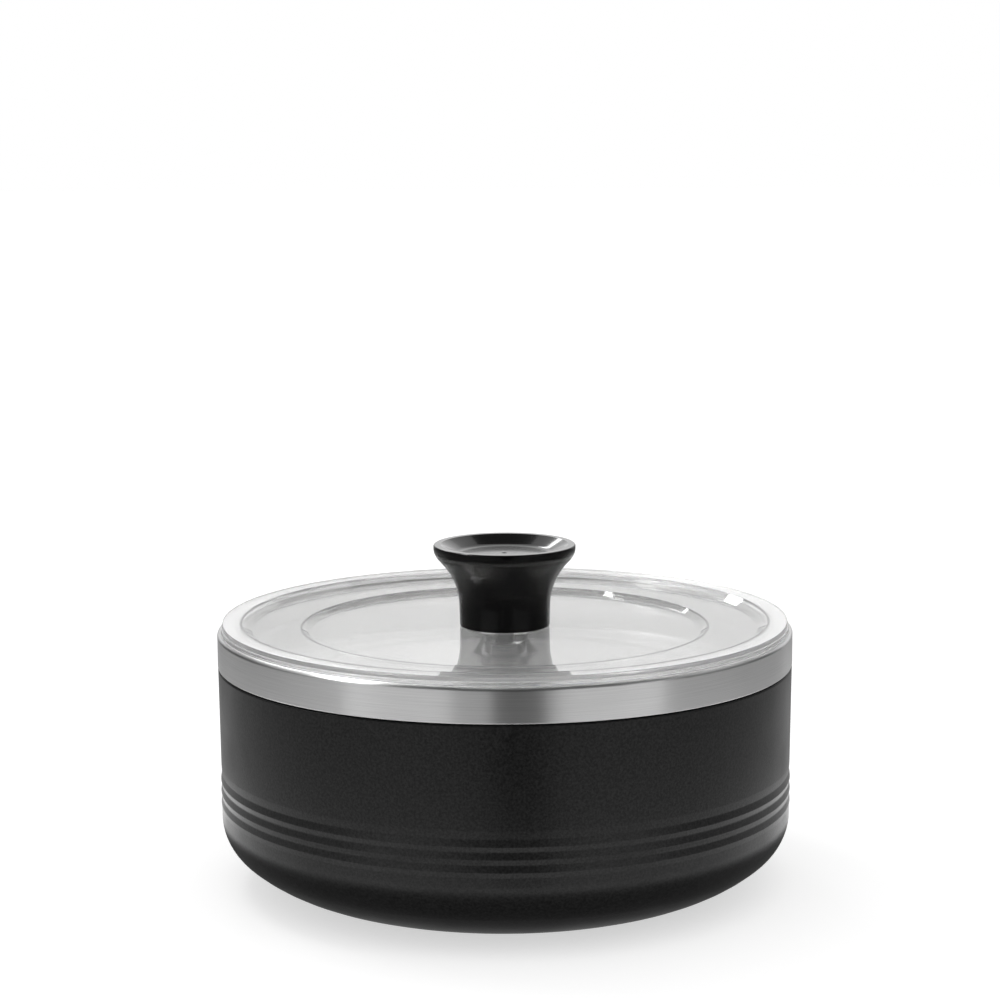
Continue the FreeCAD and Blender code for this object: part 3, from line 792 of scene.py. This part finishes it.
def soft_box(name, azimuth, elevation, distance, width, height, radiance):
    """Soft lamp at an azimuth from the front and an elevation, which faces the casserole.
    Its energy is radiance times area times pi."""
    lamp = bpy.data.lights.new(name, "AREA")
    lamp.shape = "RECTANGLE"
    lamp.size, lamp.size_y = width, height
    lamp.energy = radiance * width * height * math.pi
    turn, rise = math.radians(azimuth), math.radians(elevation)
    way = Vector((math.sin(turn) * math.cos(rise), -math.cos(turn) * math.cos(rise),
                  math.sin(rise)))
    holder = bpy.data.objects.new(name, lamp)
    bpy.context.scene.collection.objects.link(holder)
    holder.location = LAMPS_AIM + way * distance
    holder.visible_diffuse = name != GLOSS_ONLY_LAMP
    holder.rotation_euler = (-way).to_track_quat("-Z", "Y").to_euler()


def glow(name, strength):
    """Even emission."""
    material = bpy.data.materials.new(name)
    material.use_nodes = True
    tree = material.node_tree
    tree.nodes.remove(tree.nodes["Principled BSDF"])
    light = tree.nodes.new("ShaderNodeEmission")
    light.inputs["Strength"].default_value = strength
    tree.links.new(light.outputs[0], tree.nodes["Material Output"].inputs[0])
    return material


def screen(name, profile, start, end, level):
    """Glowing screen round the axis from a start to an end azimuth: each (radius, height)
    of its profile is drawn at azimuth a as (r sin a, -r cos a). Only glossy and clear
    surfaces see it."""
    angles = np.radians(np.linspace(start, end, max(2, int(abs(end - start) / 3) + 1)))
    around = np.column_stack([np.sin(angles), -np.cos(angles)])
    corners = np.vstack([np.column_stack([around * radius, np.full(len(angles), height)])
                         for radius, height in profile])
    faces = [(row + at, row + at + 1, row + at + 1 + len(angles), row + at + len(angles))
             for row in range(0, len(angles) * (len(profile) - 1), len(angles))
             for at in range(len(angles) - 1)]
    mesh = bpy.data.meshes.new(name)
    mesh.from_pydata(corners.tolist(), [], faces)
    mesh.materials.append(glow(name, level))
    sheet = bpy.data.objects.new(name, mesh)
    bpy.context.scene.collection.objects.link(sheet)
    sheet.visible_camera = sheet.visible_diffuse = False
    sheet.visible_shadow = False


def painted_floor_in_gloss(tree):
    """What glossy surfaces see of the floor, by its distance from the axis: a painted shadow at
    the casserole, a painted pool of light just outside it, and darker with distance."""
    place = tree.nodes.new("ShaderNodeTexCoord").outputs["Object"]
    split = tree.nodes.new("ShaderNodeSeparateXYZ")
    tree.links.new(place, split.inputs[0])
    # painted shadow and painted light: emission levels by distance stand in for the casserole's
    # shadow and the lit floor round it
    ramp = tree.nodes.new("ShaderNodeValToRGB")
    tree.links.new(distance_from_axis(tree, split), ramp.inputs[0])
    stops = ramp.color_ramp.elements
    while len(stops) < len(FLOOR_PAINTED_IN_GLOSS):
        stops.new(0.5)
    for stop, (distance, level) in zip(stops, FLOOR_PAINTED_IN_GLOSS):
        stop.position = distance
        stop.color = (level, level, level, 1)
    light = tree.nodes.new("ShaderNodeEmission")
    tree.links.new(ramp.outputs[0], light.inputs["Color"])
    return light.outputs[0]


def floor_finish():
    """Pale floor: matt and white to the eye, with the shadow kept."""
    material = bpy.data.materials.new("pale_floor")
    material.use_nodes = True
    tree = material.node_tree
    tree.nodes.remove(tree.nodes["Principled BSDF"])
    matt = tree.nodes.new("ShaderNodeBsdfDiffuse")
    matt.inputs[0].default_value = (FLOOR_GREY, FLOOR_GREY, FLOOR_GREY, 1)
    lift = tree.nodes.new("ShaderNodeEmission")
    lift.inputs["Strength"].default_value = FLOOR_LIFT
    lit = tree.nodes.new("ShaderNodeAddShader")
    tree.links.new(matt.outputs[0], lit.inputs[0])
    tree.links.new(lift.outputs[0], lit.inputs[1])
    rays = tree.nodes.new("ShaderNodeLightPath")
    to_eye = tree.nodes.new("ShaderNodeMixShader")
    seen = maths(tree, "MAXIMUM", rays.outputs["Is Camera Ray"],
                 rays.outputs["Is Transmission Ray"])
    tree.links.new(seen, to_eye.inputs[0])
    tree.links.new(matt.outputs[0], to_eye.inputs[1])
    tree.links.new(lit.outputs[0], to_eye.inputs[2])
    to_gloss = tree.nodes.new("ShaderNodeMixShader")
    tree.links.new(rays.outputs["Is Glossy Ray"], to_gloss.inputs[0])
    tree.links.new(to_eye.outputs[0], to_gloss.inputs[1])
    tree.links.new(painted_floor_in_gloss(tree), to_gloss.inputs[2])
    tree.links.new(to_gloss.outputs[0], tree.nodes["Material Output"].inputs[0])
    return material


def studio():
    """White backdrop all round, pale floor and soft boxes, and for glossy and clear
    surfaces a dim room open at the back, with two bright panels and a dark strip in
    front."""
    world = bpy.data.worlds.new("white_studio")
    bpy.context.scene.world = world
    world.use_nodes = True
    tree = world.node_tree
    sky = tree.nodes["Background"]
    sky.inputs["Color"].default_value = (1, 1, 1, 1)
    sky.inputs["Strength"].default_value = WORLD_STRENGTH
    rays = tree.nodes.new("ShaderNodeLightPath")
    shown = sky.outputs[0]
    for kind, level in (("Is Glossy Ray", BACK_IN_GLOSS),
                        ("Is Transmission Ray", BACK_THROUGH_LID), ("Is Camera Ray", 1.0)):
        white = tree.nodes.new("ShaderNodeBackground")
        white.inputs["Color"].default_value = (1, 1, 1, 1)
        white.inputs["Strength"].default_value = level
        mix = tree.nodes.new("ShaderNodeMixShader")
        tree.links.new(rays.outputs[kind], mix.inputs[0])
        tree.links.new(shown, mix.inputs[1])
        tree.links.new(white.outputs[0], mix.inputs[2])
        shown = mix.outputs[0]
    tree.links.new(shown, tree.nodes["World Output"].inputs[0])

    mesh = bpy.data.meshes.new("floor")
    far = FLOOR_SIDE / 2
    mesh.from_pydata([(-far, -far, 0), (far, -far, 0), (far, far, 0), (-far, far, 0)], [],
                     [(0, 1, 2, 3)])
    mesh.materials.append(floor_finish())
    floor = bpy.data.objects.new("floor", mesh)
    bpy.context.scene.collection.objects.link(floor)

    for name, values in LAMPS.items():
        soft_box(name, *values)
    for name, values in SCREENS.items():
        screen(name, *values)


def light_paths():
    """Enough bounces for light that crosses the clear lid's many faces."""
    paths = bpy.context.scene.cycles
    paths.max_bounces = paths.glossy_bounces = paths.transmission_bounces = LID_BOUNCES


CAMERA_BACK = 1.05
CAMERA_HEIGHT = 0.3136
CAMERA_DIP = 8.66               # degrees
CAMERA_ROLL = 0.27              # degrees
LENS, LENS_SENSOR = 95.65, 36.0
LENS_SHIFT_X, LENS_SHIFT_Y = -0.00424, 0.0005
LENS_NEAR, LENS_FAR = 0.05, 50.0


def camera():
    """Long lens a metre in front, a little above the knob: its axes are the level ones
    dipped about X, then rolled about the line of sight."""
    lens = bpy.data.cameras.new("camera")
    lens.sensor_width = LENS_SENSOR
    lens.lens = LENS
    lens.shift_x, lens.shift_y = LENS_SHIFT_X, LENS_SHIFT_Y
    lens.clip_start, lens.clip_end = LENS_NEAR, LENS_FAR
    holder = bpy.data.objects.new("camera", lens)
    bpy.context.scene.collection.objects.link(holder)
    dipped = Matrix.Rotation(math.radians(90 - CAMERA_DIP), 4, "X")
    rolled = Matrix.Rotation(math.radians(-CAMERA_ROLL), 4, "Z")
    holder.matrix_world = Matrix.Translation((0, -CAMERA_BACK, CAMERA_HEIGHT)) @ dipped @ rolled
    bpy.context.scene.camera = holder


turned_pieces()
dress_nodes()
studio()
camera()
bpy.context.scene.view_settings.view_transform = "Standard"
light_paths()
